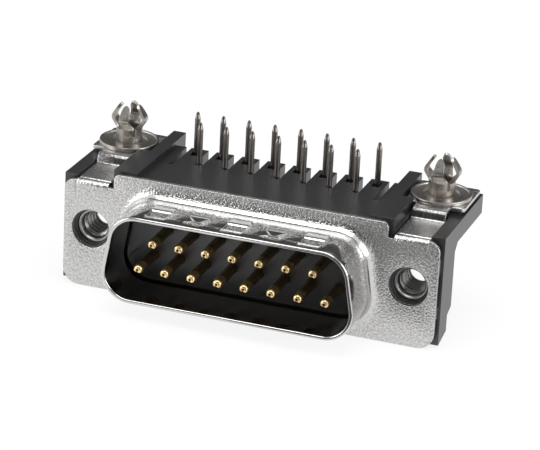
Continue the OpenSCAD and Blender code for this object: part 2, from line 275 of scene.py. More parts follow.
def shades(tree, factor, color, dark, light):
    """Blend between two shades of one colour."""
    return mix_color(tree, factor, shade(color, dark), shade(color, light))


def bump(tree, shader, height, depth, edge=0.0):
    """Height as relief of a depth; edge is the radius at which sharp edges are rounded in shading."""
    inputs = {"Distance": depth, "Height": height}
    if edge:
        inputs["Normal"] = add_node(tree, "ShaderNodeBevel", {"Radius": edge}, samples=6).outputs["Normal"]
    relief = add_node(tree, "ShaderNodeBump", inputs)
    feed(tree, shader, {"Normal": relief.outputs["Normal"]})


def plated_metal(name, color, grain, depth, rough):
    """Plated sheet: fine grain in its gloss and height, and clouds of 14 grains in its colour."""
    material, tree, shader = new_material(name)
    coords = object_coords(tree)
    cells = noise(tree, coords, grain, 2.0, 0.55)
    cloud = noise(tree, coords, grain * 14)
    feed(tree, shader, {"Metallic": 1.0, "Base Color": shades(tree, cloud, color, 0.92, 1.06),
                        "Roughness": ramp(tree, cells, rough - GLOSS_SPREAD, rough + GLOSS_SPREAD)})
    bump(tree, shader, cells, depth)
    return material


def shell_metal(look):
    """Tin plate: worm-like grain on the flange, fading on the drawn wall, which is smoother and shinier.

    The straps' risers, which two bands about the step pick out, carry painted shade that darkens their
    colour, and the straps' relief is lower."""
    material, tree, shader = new_material("tin_plate")
    coords = object_coords(tree)
    color, step = look.shell_color, SHAPE["step_y"]
    depth = along(tree, coords, "Y")
    on_wall = band(tree, depth, -0.03 * MM, -0.45 * MM)
    cells = band(tree, noise(tree, coords, look.grain_size, 2.0, 0.55), 0.34, 0.66)
    grained = shades(tree, cells, color, 0.76, 1.14)
    smooth = shades(tree, noise(tree, coords, 3.0 * MM), color, 0.90, 1.06)
    # Painted shade: the risers' colour is darkened to a fifth to a half of the tin's
    riser_shade_mask = calc(tree, "MULTIPLY", band(tree, depth, step - 0.25 * MM, step - 0.05 * MM),
                 band(tree, depth, step + 0.30 * MM, step + 0.60 * MM, 1.0, 0.0))
    plain, painted_riser_shade = mix_color(tree, on_wall, grained, smooth), shades(tree, cells, color, 0.20, 0.50)
    feed(tree, shader, {"Metallic": 1.0, "Base Color": mix_color(tree, riser_shade_mask, plain, painted_riser_shade),
                        "Roughness": ramp(tree, on_wall, 0.27, 0.11)})
    relief = ramp(tree, on_wall, band(tree, depth, 0.5 * MM, 0.8 * MM, 1.0, 0.3), 0.06)
    bump(tree, shader, calc(tree, "MULTIPLY", cells, relief), SHELL_RELIEF)
    return material


def lock_metal(look):
    """Warm tin plate with fine drawing marks that run up the barrel and prongs.

    The marks are a noise stretched upwards, where its coordinates are squashed to 0.08."""
    material, tree, shader = new_material("lock_plate")
    coords, color = object_coords(tree), look.lock_color
    squashed = add_node(tree, "ShaderNodeVectorMath", {0: coords, 1: (1.0, 1.0, 0.08)}, operation="MULTIPLY")
    marks = noise(tree, squashed.outputs["Vector"], 0.16 * MM, 2.0, 0.6)
    plain = shades(tree, noise(tree, coords, 1.6 * MM, 2.0), color, 0.90, 1.10)
    marked = mix_color(tree, band(tree, marks, 0.56, 0.70), plain, shade(color, 0.55))
    feed(tree, shader, {"Metallic": 1.0, "Base Color": marked, "Roughness": ramp(tree, marks, 0.22, 0.40)})
    bump(tree, shader, marks, MARK_RELIEF)
    return material


def gold_metal(look):
    """Gold plate, bright on the pin's nose, with painted shade darkening the shaft behind it."""
    material, tree, shader = new_material("gold_plate")
    coords, nose = object_coords(tree), -SHAPE["pin_reach"]
    # Painted shade: the shaft behind the nose is darkened to 0.45 of the gold
    painted_shaft_shade = band(tree, along(tree, coords, "Y"), nose + 1.15 * MM, nose + 1.45 * MM)
    gold = mix_color(tree, painted_shaft_shade, look.gold_color, shade(look.gold_color, 0.45))
    rough = ramp(tree, noise(tree, coords, 0.2 * MM), 0.22, 0.38)
    feed(tree, shader, {"Metallic": 1.0, "Base Color": gold, "Roughness": rough})
    return material


def tail_metal(look):
    """Dull tin, clouded along the wire, with painted shade darkening the top of the point."""
    material, tree, shader = new_material("tail_plate")
    coords, top = object_coords(tree), SHAPE["tail_top"]
    # Painted shade: the top of the tail's point is darkened to 0.3 of the tin
    tip = band(tree, along(tree, coords, "Z"), top - 0.34 * MM, top - 0.22 * MM)
    wire = shades(tree, noise(tree, coords, 0.5 * MM, 3.0, 0.55), look.tail_color, 0.8, 1.15)
    tin = mix_color(tree, tip, wire, shade(look.tail_color, 0.3))
    feed(tree, shader, {"Metallic": 1.0, "Base Color": tin, "Roughness": 0.30})
    return material


def moulded(name, color, rough):
    """Glass-filled moulding: fine grain, faint flow clouds and edges that catch the light."""
    material, tree, shader = new_material(name)
    coords = object_coords(tree)
    cells = noise(tree, coords, 0.12 * MM, 4.0, 0.6)
    clouded = shades(tree, noise(tree, coords, 4 * MM), color, 0.8, 1.3)
    feed(tree, shader, {"Base Color": clouded, "Roughness": ramp(tree, cells, rough - 0.07, rough + 0.1),
                        "Specular IOR Level": 0.85})
    bump(tree, shader, cells, FINE_RELIEF, EDGE_ROUND)
    return material


def paint(node, material):
    """Gives a CAD node's object one material in place of its own."""
    obj = NODES[node]
    obj.data.materials.clear()
    obj.data.materials.append(material)


# ---------------------------------------------------------------- surfaces

def surface(points, wrap_u=False, wrap_v=False):
    """(vertices, quads) of a grid of points of shape (nu, nv, 3), closed round where asked."""
    nu, nv = points.shape[:2]
    rows, columns = nu if wrap_u else nu - 1, nv if wrap_v else nv - 1
    u, v = np.meshgrid(np.arange(rows), np.arange(columns), indexing="ij")
    u2, v2 = (u + 1) % nu, (v + 1) % nv
    quads = np.stack([u * nv + v, u2 * nv + v, u2 * nv + v2, u * nv + v2], -1)
    return points.reshape(-1, 3), quads.reshape(-1, 4)


def full_turn(count):
    """Even angles round a full turn."""
    return np.linspace(0.0, 2 * math.pi, count, endpoint=False)


def offsets(radius, height, steps):
    """Profile points that lie (out, up) millimetres from a radius and a height."""
    return [(radius + out * MM, height + up * MM) for out, up in steps]


def turned(profile, centre, axis, count):
    """A profile of (radius, height) turned about an axis through centre: (r cos a, r sin a, h)."""
    angle = full_turn(count)
    radius, height = np.asarray(profile, float).T
    across = np.cos(angle)[:, None] * radius
    along_side = np.sin(angle)[:, None] * radius
    lift = np.broadcast_to(height, across.shape)
    columns = {"z": (across, along_side, lift), "y": (along_side, lift, across)}[axis]
    return surface(np.stack(columns, -1) + np.asarray(centre, float), wrap_u=True)


def bored(radius, depth, angle, x, z):
    """Points (x + r cos a, depth, z + r sin a) of a wall whose radius r changes with angle and depth."""
    return np.stack([radius * np.cos(angle)[:, None], np.broadcast_to(depth[None, :], radius.shape),
                     radius * np.sin(angle)[:, None]], -1) + np.array([x, 0.0, z])


def rounded_path(corners, radii, steps):
    """A polyline in a plane whose inner corners are replaced by arcs of the given radii.

    Each arc touches both sides at radius * tan(turn / 2) from the corner."""
    corners = [np.asarray(c, float) for c in corners]
    run = [corners[0][None]]
    for before, corner, after, radius in zip(corners, corners[1:], corners[2:], radii):
        back = (before - corner) / np.linalg.norm(before - corner)
        ahead = (after - corner) / np.linalg.norm(after - corner)
        turn = math.pi - math.acos(np.clip(back @ ahead, -1, 1))
        reach = radius * math.tan(turn / 2)
        middle = corner + (back + ahead) / np.linalg.norm(back + ahead) * radius / math.cos(turn / 2)
        first = corner + back * reach - middle
        second = corner + ahead * reach - middle
        t = np.linspace(0, 1, steps + 1)[:, None]
        run.append(middle + (first * np.sin((1 - t) * turn) + second * np.sin(t * turn)) / math.sin(turn))
    return np.concatenate(run + [corners[-1][None]])


def rounded_tile(x, half, low, high, radius, steps):
    """Outline of a tile with rounded corners, anticlockwise from the middle of its lower side."""
    corners = [(x, low), (x + half, low), (x + half, high), (x - half, high), (x - half, low), (x, low)]
    return rounded_path(corners, [radius] * 4, steps)[:-1]


def rounded_bar(width, height, radius, steps):
    """Section of a bar with rounded corners, centred, anticlockwise from its right side."""
    quarter = np.linspace(0, math.pi / 2, steps + 1)
    rounds = [(sx * (width / 2 - radius), sy * (height / 2 - radius), turn)
              for sx, sy, turn in ((1, 1, 0), (-1, 1, 1), (-1, -1, 2), (1, -1, 3))]
    return np.concatenate([np.stack([x + radius * np.cos(quarter + turn * math.pi / 2),
                                     y + radius * np.sin(quarter + turn * math.pi / 2)], -1)
                           for x, y, turn in rounds])


def right_of(ahead):
    """Unit normals in the plane, to the right of each step."""
    ahead = ahead / np.linalg.norm(ahead, axis=1, keepdims=True)
    return np.stack([ahead[:, 1], -ahead[:, 0]], -1)


def capped(points):
    """A tube from rings of points, closed at both ends by a fan to the ring's middle."""
    middles = points.mean(axis=1, keepdims=True).repeat(points.shape[1], 1)
    return surface(np.concatenate([middles[:1], points, middles[-1:]]), wrap_v=True)


def carried(path, section, place):
    """A closed section (side, normal) carried along a path in the (depth, height) plane.

    Point = (place + side, path + normal * path's normal)."""
    normal = -right_of(np.gradient(path, axis=0))
    flat = path[:, None, :] + section[None, :, 1:2] * normal[:, None, :]
    side = np.broadcast_to(section[None, :, 0:1] + place, flat.shape[:2] + (1,))
    return capped(np.concatenate([side, flat], -1))


def outward(loop):
    """Unit normals in the plane of a closed loop, to the right of its direction."""
    return right_of(np.roll(loop, -1, 0) - np.roll(loop, 1, 0))


def inside(points, loop):
    """Which points lie in a closed loop, by counting the edges that a ray to the right crosses."""
    a, b = loop, np.roll(loop, -1, 0)
    y = points[:, 1:2]
    cuts = (a[:, 1] > y) != (b[:, 1] > y)
    with np.errstate(divide="ignore", invalid="ignore"):
        x = a[:, 0] + (y - a[:, 1]) * (b[:, 0] - a[:, 0]) / (b[:, 1] - a[:, 1])
    return (np.sum(cuts & (points[:, 0:1] < x), axis=1) % 2) == 1


def filled(loops):
    """Triangles between an outer loop and the holes after it, as (points, faces)."""
    points = np.concatenate(loops)
    starts = np.cumsum([0] + [len(loop) for loop in loops])
    edges = [(int(start + i), int(start + (i + 1) % len(loop)))
             for start, loop in zip(starts, loops) for i in range(len(loop))]
    flat, _, faces, *_ = delaunay_2d_cdt([Vector(p) for p in points], edges, [], 1, 1e-9)
    flat = np.array([tuple(p) for p in flat])
    faces = np.array([tuple(f) for f in faces if len(f) == 3])
    middle = flat[faces].mean(axis=1)
    keep = inside(middle, loops[0])
    for hole in loops[1:]:
        keep &= ~inside(middle, hole)
    return flat, faces[keep]


def plate(outline, holes, low, high, to_space, bevel, open_holes=()):
    """A flat plate between two levels, with rounded edges, holes, and holes left open for another surface.

    Edges are quarter rounds: a ring at angle t lies bevel * (1 - sin t) inside the outline and
    bevel * (1 - cos t) from the face."""
    parts = []
    quarter = np.linspace(0, math.pi / 2, 4)
    loops = [outline] + list(holes)
    insets = [-outward(outline)] + [outward(hole) for hole in holes]
    for level, sign in ((low, 1), (high, -1)):
        flat, faces = filled([loop + inset * bevel for loop, inset in zip(loops, insets)] + list(open_holes))
        if sign == -1:
            faces = faces[:, ::-1]
        parts.append((to_space(flat, np.full(len(flat), level)), faces))
    for loop, inset in zip(loops, insets):
        levels = [(t, low + bevel * (1 - np.cos(t))) for t in quarter]
        levels += [(t, high - bevel * (1 - np.cos(t))) for t in quarter[::-1]]
        points = np.stack([to_space(loop + inset * bevel * (1 - np.sin(t)), np.full(len(loop), level))
                           for t, level in levels])
        parts.append(surface(points, wrap_v=True))
    return parts


def standing(flat, depth):
    """(across, up) drawings stood up at a depth behind the flange's face."""
    return np.stack([flat[..., 0], depth, flat[..., 1]], -1)


def lying(flat, height):
    """(across, back) drawings laid at a height."""
    return np.stack([flat[..., 0], flat[..., 1], height], -1)


def circle(x, y, radius, count=64):
    """Points round a circle, anticlockwise."""
    angle = full_turn(count)
    return np.stack([x + radius * np.cos(angle), y + radius * np.sin(angle)], -1)


def new_piece(name, parts, materials, replaced, sharp=35.0, which=None):
    """Joins surfaces into one object that rides on the part, smooth but for edges sharper than an angle.

    which gives the number of each surface's material."""
    verts, faces, slots, start = [], [], [], 0
    for number, (points, polygons) in enumerate(parts):
        verts.append(points)
        faces += (np.asarray(polygons) + start).tolist()
        slots += [which[number] if which else 0] * len(polygons)
        start += len(points)
    mesh = bpy.data.meshes.new(name)
    mesh.from_pydata(np.concatenate(verts).tolist(), [], faces)
    for material in materials:
        mesh.materials.append(material)
    mesh.polygons.foreach_set("material_index", slots)
    work = bmesh.new()
    work.from_mesh(mesh)
    bmesh.ops.remove_doubles(work, verts=work.verts, dist=0.0005 * MM)
    bmesh.ops.dissolve_degenerate(work, edges=work.edges, dist=0.0002 * MM)
    bmesh.ops.recalc_face_normals(work, faces=work.faces)
    work.to_mesh(mesh)
    work.free()
    mesh.shade_smooth()
    mesh.set_sharp_from_angle(angle=math.radians(sharp))
    piece = bpy.data.objects.new(name, mesh)
    bpy.context.collection.objects.link(piece)
    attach(piece, BODY)
    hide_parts(*replaced)
    return piece


# ---------------------------------------------------------------- shell

def stations(runs):
    """All the distances in order, once each, to a ten-thousandth of a millimetre."""
    return np.unique(np.round(np.concatenate(runs), 7))


def d_stations():
    """(points, normals) round the D: four corners of many short steps, joined by straights.

    The straights carry extra stations at every edge and ramp of the grip dimples."""
    wide = SHAPE["opening_w"] / 2 - SHAPE["opening_r"]
    level = SHAPE["opening_h"] / 2 - SHAPE["opening_r"]
    narrow = wide - 2 * level * math.tan(WALL_LEAN)
    quarter = math.pi / 2
    corners = [((wide, -level), -quarter, quarter + WALL_LEAN),
               ((narrow, level), WALL_LEAN, quarter - WALL_LEAN),
               ((-narrow, level), quarter, quarter - WALL_LEAN),
               ((-wide, -level), math.pi - WALL_LEAN, quarter + WALL_LEAN)]
    middles = [k * SHAPE["dimple_pitch"] for k in DIMPLES]
    marks = stations([sign * (SHAPE["dimple_w"] / 2 - DIMPLE_RAMP) + x for x in middles for sign in (-1, 1)]
                     + [x + np.linspace(-0.8, 0.8, 9) * MM for x in middles])
    straights = {1: marks[::-1], 3: marks}
    points, normals = [], []
    for k, (centre, start, sweep) in enumerate(corners):
        angle = start + np.linspace(0.0, sweep, 25)
        normal = np.stack([np.cos(angle), np.sin(angle)], -1)
        points.append(np.asarray(centre) + SHAPE["opening_r"] * normal)
        normals.append(normal)
        if k in straights:
            x = straights[k]
            facing = math.copysign(1.0, centre[1])
            points.append(np.stack([x, np.full(len(x), facing * SHAPE["opening_h"] / 2)], -1))
            normals.append(np.tile([0.0, facing], (len(x), 1)))
    return np.concatenate(points), np.concatenate(normals)


def dimple_depth(x, depth, normals):
    """How far the wall is pressed in at each station and depth.

    A flat dimple's depth rises with its edge's distance d as full * smooth(d / its ramp). Every second dimple
    is a trough, whose depth rises straight to its middle line: 1.5 * full * d / (half its length)."""
    pressed = np.zeros((len(depth), len(x)))
    half_length = SHAPE["dimple_l"] / 2
    lengthways = half_length - np.abs(depth[:, None] - SHAPE["dimple_y"])
    flat_wall = np.abs(normals[:, 1]) > 0.999
    for k in DIMPLES:
        across = SHAPE["dimple_w"] / 2 - np.abs(x[None, :] - k * SHAPE["dimple_pitch"])
        edge = np.clip(np.minimum(across, lengthways), 0.0, None)
        t = np.clip(edge / DIMPLE_RAMP[-1], 0.0, 1.0)
        flat = SHAPE["dimple_deep"] * t * t * (3 - 2 * t)
        trough = TROUGH_DEPTH * SHAPE["dimple_deep"] * edge / half_length
        pressed += np.where(flat_wall[None, :], flat if k % 2 == 0 else trough, 0.0)
    return pressed


def drawn_wall(points, normals):
    """The drawn wall from the flange's front face to its back, round its rolled-in mouth.

    Outside cove: growth root_x + root_r cos t, depth root_r (sin t - 1). Inside cove: the same centre, one
    sheet further out. The mouth is two quarter rounds of radius mouth_r. The lower row's dimples hardly show
    on the inside."""
    sheet, root_r, root_x, mouth = SHAPE["sheet"], SHAPE["root_r"], SHAPE["root_x"], -SHAPE["shell_depth"]
    r, half, middle = SHAPE["mouth_r"], SHAPE["dimple_l"] / 2, SHAPE["dimple_y"]
    t = np.linspace(math.pi / 2, math.pi, 13)
    q = np.linspace(0.0, math.pi / 2, 6)
    rows = stations([middle + half - DIMPLE_RAMP, middle + np.linspace(0.6, -0.6, 13) * MM,
                     middle - half + DIMPLE_RAMP[::-1]])[::-1]
    section = np.concatenate([
        np.stack([root_x + root_r * np.cos(t), root_r * (np.sin(t) - 1)], -1),
        np.stack([np.full(len(rows), sheet), rows], -1),
        np.stack([sheet - r + r * np.cos(q), mouth + r - r * np.sin(q)], -1),
        np.stack([r - r * np.sin(q), mouth + r - r * np.cos(q)], -1)[1:],
        np.stack([np.zeros(len(rows)), rows[::-1]], -1),
        np.stack([root_x + root_x * np.cos(t[::-1]), root_x * np.sin(t[::-1]) - root_r], -1)])
    pressed = dimple_depth(points[:, 0], section[:, 1], normals)
    pressed[np.ix_(section[:, 0] < r, points[:, 1] < 0)] *= LOWER_DIMPLE_INSIDE
    growth = section[:, 0][:, None] - pressed
    flat = points[None] + growth[..., None] * normals[None]
    depth = np.broadcast_to(section[:, 1][:, None], growth.shape)
    return surface(standing(flat, depth), wrap_v=True)


def flange_loop():
    """Outline of the flange, anticlockwise: rounded foot, ends, strap roots and raised middle."""
    half, mid, top = SHAPE["flange_w"] / 2, SHAPE["mid_half_w"], SHAPE["flange_h"] / 2
    ends = SHAPE["end_top"]
    strap_out = (SHAPE["pitch"] + SHAPE["strap_w"]) / 2
    strap_in = (SHAPE["pitch"] - SHAPE["strap_w"]) / 2
    root, relief = ends - 0.7 * MM, ends - 0.35 * MM
    right = np.concatenate([
        rounded_path([(0.0, -top), (half, -top), (half, ends), (strap_out, ends)],
                     [SHAPE["foot_r"], SHAPE["end_r"]], 10),
        [(strap_out, root), (strap_in, root), (strap_in, relief), (mid, relief)],
        rounded_path([(mid, ends), (mid, top), (0.0, top)], [SHAPE["mid_r"]], 8)])
    left = right[::-1] * (-1, 1)
    return np.concatenate([right[1:-1], left[:-1]])


def strap_parts(side):
    """A ground strap: a rounded bar carried over a pressed groove and two bends, and the plate at its end."""
    x, sheet = side * SHAPE["pitch"] / 2, SHAPE["sheet"]
    front, top, plate_top = sheet / 2, SHAPE["end_top"] - sheet / 2, SHAPE["plate_top"] - sheet / 2
    step, far = SHAPE["step_y"], SHAPE["plate_front"] + 0.1 * MM
    corners = [(front, SHAPE["end_top"] - 0.75 * MM), (front, top), *offsets(0.0, top, STRAP_GROOVE),
               (step, top), (step + 0.4 * MM, plate_top), (far, plate_top)]
    path = rounded_path(corners, [bend * MM for bend in STRAP_BENDS], 8)
    bar = carried(path, rounded_bar(SHAPE["strap_w"], sheet, 0.07 * MM, 3), x)
    outline = rounded_tile(x, SHAPE["plate_w"] / 2, SHAPE["plate_front"], SHAPE["plate_back"], 0.35 * MM, 6)
    hole = circle(x, SHAPE["lock_y"], SHAPE["lock_d"] / 2 + 0.02 * MM)
    return [bar] + plate(outline, [hole], SHAPE["plate_top"] - sheet, SHAPE["plate_top"], lying, 0.06 * MM)


def shell_parts():
    """The drawn wall, the flange round its root, the straps and the crimp tabs on the flange's back."""
    points, normals = d_stations()
    sheet = SHAPE["sheet"]
    root = points + SHAPE["root_x"] * normals
    holes = [circle(side * SHAPE["pitch"] / 2, 0.0, SHAPE["hole_d"] / 2, 72) for _, side in SIDES]
    parts = [drawn_wall(points, normals)]
    parts += plate(flange_loop(), holes, 0.0, sheet, standing, 0.05 * MM, [root])
    for _, side in SIDES:
        parts += strap_parts(side)
        for middle, tall in CRIMP_TABS:
            tab = rounded_tile(side * (SHAPE["flange_w"] / 2 - 0.2 * MM), 0.2 * MM, (middle - tall / 2) * MM,
                               (middle + tall / 2) * MM, 0.08 * MM, 4)
            parts += plate(tab, [], sheet - 0.05 * MM, 2 * sheet, standing, 0.04 * MM)
    return parts


class CONNECTOR_OT_shell(Operator):
    """Builds the drawn shell with its flange, grip dimples, straps and crimp tabs"""
    bl_idname = "connector.shell"
    bl_label = "Shell"

    def execute(self, context):
        look = context.scene.connector_metals
        piece = new_piece("drawn_shell", shell_parts(), [shell_metal(look)], ["front_shell"], 40.0)
        return {"FINISHED"}


# ---------------------------------------------------------------- threaded inserts

def insert_parts(x):
    """Outside and ends turned about the bore, and the bore's wall as a helical surface.

    Thread: radius = root - thread depth * (1 - wave), where wave is a clipped triangle of
    (depth / pitch - angle / full turn), faded in over the first and last turn."""
    front, end = SHAPE["insert_front"], SHAPE["insert_back"]
    shoulder, rim_y = SHAPE["shoulder_y"], SHAPE["rim_y"]
    root, nose, barrel, rim = (SHAPE[name] / 2 for name in ("thread_d", "nose_d", "barrel_d", "rim_d"))
    first, last, chamfer, soft = front + 0.12 * MM, end - 0.12 * MM, 0.10 * MM, 0.06 * MM
    outer = [(root, first), (root + chamfer, front), (nose - soft, front), (nose, front + soft),
             (nose, shoulder), (barrel, shoulder), (barrel, rim_y), (rim, rim_y), (rim, end - soft),
             (rim - soft, end), (root + chamfer, end), (root, last)]
    depth = np.append(np.arange(first, last, SHAPE["thread_pitch"] / 16), last)
    angle = full_turn(96)
    phase = (depth[None, :] / SHAPE["thread_pitch"] - angle[:, None] / (2 * math.pi)) % 1.0
    wave = np.clip(2.4 * np.abs(2 * phase - 1) - 0.7, 0.0, 1.0)
    run_in = 0.3 * MM
    fade = np.clip((depth - front - 0.75 * MM) / run_in, 0, 1) * np.clip((last - depth) / run_in, 0, 1)
    radius = root - SHAPE["thread_deep"] * (1 - wave) * fade[None, :]
    return [turned(outer, (x, 0.0, 0.0), "y", 96), surface(bored(radius, depth, angle, x, 0.0), wrap_u=True)]


class CONNECTOR_OT_inserts(Operator):
    """Builds the two threaded inserts"""
    bl_idname = "connector.inserts"
    bl_label = "Threaded inserts"

    def execute(self, context):
        look = context.scene.connector_metals
        metal = plated_metal("insert_plate", look.insert_color, look.grain_size, FINE_RELIEF, 0.30)
        for name, side in SIDES:
            piece = new_piece(name + "_threaded_insert", insert_parts(side * SHAPE["pitch"] / 2), [metal],
                              [name + "_insert"])
        return {"FINISHED"}


# ---------------------------------------------------------------- contacts

def pin_parts(x, z):
    """A rolled pin with a nose hole and a seam: its outside, and the hollow faces of its nose, which carry
    painted shade.

    Radius(depth) is turned about the pin's axis, less a seam of 0.10 mm * exp(-(angle / 0.13)^2) along the
    underside and a notch of 0.36 mm * exp(-(angle / 0.42)^2) that fades out behind the nose."""
    r, tip, back = SHAPE["pin_d"] / 2, -SHAPE["pin_reach"], SHAPE["pin_back"]
    profile = offsets(0.0, tip, PIN_NOSE) + offsets(r, tip, ((0.0, 1.35), (0.0, 1.8)))
    profile += [(r, 0.6 * MM), (r, back), (0.3 * MM, back), (0.0, back)]
    radius, depth = np.array(profile).T
    angle, behind_nose = full_turn(64), tip + 0.5 * MM
    off_seam = (angle + 1.5 * math.pi + math.radians(8)) % (2 * math.pi) - math.pi
    outside = (radius > 0.25 * MM) & (depth < back - 0.1 * MM)
    nose = outside * np.clip((behind_nose - depth) / (0.15 * MM), 0.0, 1.0)
    seam = 0.10 * MM * np.exp(-(off_seam / 0.13) ** 2)[:, None] * outside[None, :]
    notch = 0.36 * MM * np.exp(-(off_seam / 0.42) ** 2)[:, None] * nose[None, :]
    grown = np.maximum(radius[None, :] - np.maximum(seam, notch), np.minimum(radius, 0.10 * MM)[None, :])
    verts, faces = surface(bored(grown, depth, angle, x, z), wrap_u=True)
    # Painted shade: faces in the nose's hole and the deep notch take the dark material
    hollow = np.logical_or(grown < radius - 0.20 * MM, radius < 0.12 * MM) & (depth < behind_nose)
    hollow = hollow[:, :-1].reshape(-1)
    return [(verts, faces[~hollow]), (verts, faces[hollow])]


def tail_parts(x, z, tail_y):
    """A wire carried from inside the pin's back round a bend and up its tail, and the tail's turned point."""
    wire_r, top = SHAPE["tail_d"] / 2, SHAPE["tail_top"]
    base = top - SHAPE["tail_taper"]
    corners = [(SHAPE["pin_back"] - 0.1 * MM, z), (tail_y, z), (tail_y, base)]
    path = rounded_path(corners, [SHAPE["tail_bend"]], 12)
    straight = np.linspace(path[-2], path[-1], 3)[1:]
    wire = carried(np.concatenate([path[:-1], straight]), circle(0.0, 0.0, wire_r, 24), x)
    point = [(0.0, base - 0.05 * MM)] + offsets(wire_r, base, TAIL_BASE) + offsets(0.0, top, TAIL_POINT)
    return [wire, turned(point, (x, tail_y, 0.0), "z", 24)]


class CONNECTOR_OT_contacts(Operator):
    """Builds the fifteen contacts"""
    bl_idname = "connector.contacts"
    bl_label = "Contacts"

    def execute(self, context):
        look = context.scene.connector_metals
        # Painted shade: the nose's hole and deep notch get a near-black copy of the gold
        bore = plated_metal("pin_hollow_shade", shade(look.gold_color, 0.08), look.grain_size, FINE_RELIEF, 0.5)
        metals = [gold_metal(look), tail_metal(look), bore]
        for number, name in enumerate(PINS):
            upper = number < UPPER_PINS
            place, count = (number, UPPER_PINS) if upper else (number - UPPER_PINS, LOWER_PINS)
            x = (place - (count - 1) / 2) * SHAPE["contact_pitch"]
            z = SHAPE["row_gap"] / 2 * (1 if upper else -1)
            tail_y = SHAPE["tail_y"] + (0.0 if upper else SHAPE["tail_gap"])
            parts = pin_parts(x, z) + tail_parts(x, z, tail_y)
            # Gold outside, a near-black copy of the gold as painted shade in the hollow, and tail metal on
            # the wire and its point
            piece = new_piece("contact_" + name[-2:], parts, metals, [name], 45.0, (0, 2, 1, 1))
        return {"FINISHED"}


# ---------------------------------------------------------------- board locks

def prong_parts(x, turn):
    """One sprung prong: a strip bent outwards and in again, its width narrowing to a round tip.

    Point = radius(t) out along the prong's facing + half width(t) * u across it, bowed at its foot as the
    barrel is."""
    r, thick = SHAPE["lock_d"] / 2, SHAPE["prong_thick"]
    foot = r - 0.155 * MM
    corners = [(foot, 6.6 * MM), (foot, 7.85 * MM), (1.78 * MM, 8.75 * MM), (0.86 * MM, 10.2 * MM)]
    middle = rounded_path(corners, [0.5 * MM, 0.5 * MM], 8)
    middle = np.concatenate([middle[:-1], np.linspace(middle[-2], middle[-1], 8)[1:]])
    run = np.concatenate([[0.0], np.cumsum(np.linalg.norm(np.diff(middle, axis=0), axis=1))])
    t = run / run[-1]
    normal = right_of(np.gradient(middle, axis=0))
    half_width = np.interp(t, PRONG_RUN, np.array(PRONG_HALF_WIDTH) * MM)
    across = half_width[:, None] * np.linspace(-1.0, 1.0, 9)[None, :]
    bow = np.clip(1.5 - 2.0 * t, 0.0, 1.0)
    sag = (r - np.sqrt(np.maximum(r * r - across ** 2, 0.0))) * bow[:, None]
    skins = []
    for sign in (1, -1):
        radial = middle[:, 0:1] + sign * normal[:, 0:1] * thick / 2 - sag
        height = middle[:, 1:2] + sign * normal[:, 1:2] * thick / 2 + 0 * sag
        skins.append(np.stack([radial, across, height], -1))
    out, over, up = np.moveaxis(np.concatenate([skins[0], skins[1][:, ::-1]], axis=1), -1, 0)
    c, s = math.cos(turn), math.sin(turn)
    return capped(np.stack([x + c * out - s * over, SHAPE["lock_y"] + s * out + c * over, up], -1))


def lock_parts(side):
    """A barrel with a foot and a dished washer, turned about the lock's axis, and four prongs."""
    x = side * SHAPE["pitch"] / 2
    r, rim, seat, plate_top = SHAPE["lock_d"] / 2, SHAPE["washer_d"] / 2, SHAPE["board_z"], SHAPE["plate_top"]
    bore, low = r - 0.34 * MM, LOCK_FOOT[0][1] * MM
    profile = [(bore, low)] + offsets(r, 0.0, LOCK_FOOT) + [(r, plate_top)]
    profile += offsets(rim, plate_top, WASHER_UNDER) + offsets(rim, seat, WASHER_RIM)
    profile += offsets(r, seat, WASHER_DISH) + offsets(r, 0.0, BARREL_TOP)
    profile += offsets(bore, 0.0, BARREL_BORE) + [(bore, low)]
    body = turned(profile, (x, SHAPE["lock_y"], 0.0), "z", 96)
    return [body] + [prong_parts(x, math.radians(degrees)) for degrees in (0, 90, 180, 270)]


class CONNECTOR_OT_locks(Operator):
    """Builds the two board locks"""
    bl_idname = "connector.locks"
    bl_label = "Board locks"

    def execute(self, context):
        look = context.scene.connector_metals
        metal = lock_metal(look)
        for name, side in SIDES:
            piece = new_piece(name + "_sprung_lock", lock_parts(side), [metal], [name + "_board_lock"])
        return {"FINISHED"}


# ---------------------------------------------------------------- operators

class CONNECTOR_OT_plates(Operator):
    """Gives the plate behind the flange its metal"""
    bl_idname = "connector.plates"
    bl_label = "Rear plate"

    def execute(self, context):
        look = context.scene.connector_metals
        paint("rear_shell", plated_metal("rear_plate", look.shell_color, look.grain_size, REAR_RELIEF, 0.34))
        return {"FINISHED"}


class CONNECTOR_OT_mouldings(Operator):
    """Gives the insulator and the moulded body their black plastic"""
    bl_idname = "connector.mouldings"
    bl_label = "Mouldings"

    def execute(self, context):
        look = context.scene.connector_mouldings
        paint("rear_body", moulded("black_body", look.body_color, look.roughness))
        paint("front_insulator", moulded("black_insulator", shade(look.body_color, 0.6), look.roughness))
        return {"FINISHED"}


class CONNECTOR_OT_stage(Operator):
    """Sets the floor, the lights and the camera"""
    bl_idname = "connector.stage"
    bl_label = "Stage"

    def execute(self, context):
        stage = context.scene.connector_stage
        add_floor()
        add_cards()
        add_lights()
        add_world(stage)
        add_camera(context, stage)
        context.scene.view_settings.view_transform = "Standard"
        return {"FINISHED"}


def new_sheet(name, points, material):
    """Makes a stage sheet from a grid of points."""
    verts, faces = surface(points)
    mesh = bpy.data.meshes.new(name)
    mesh.from_pydata(verts.tolist(), [], faces.tolist())
    mesh.materials.append(material)
    sheet = bpy.data.objects.new(name, mesh)
    bpy.context.collection.objects.link(sheet)
    return sheet


def flat_sheet(across, back, height):
    """Four points of a level sheet between two places across and two places back."""
    x, y = np.meshgrid(across, back, indexing="ij")
    return lying(np.stack([x, y], -1), np.full(x.shape, height))


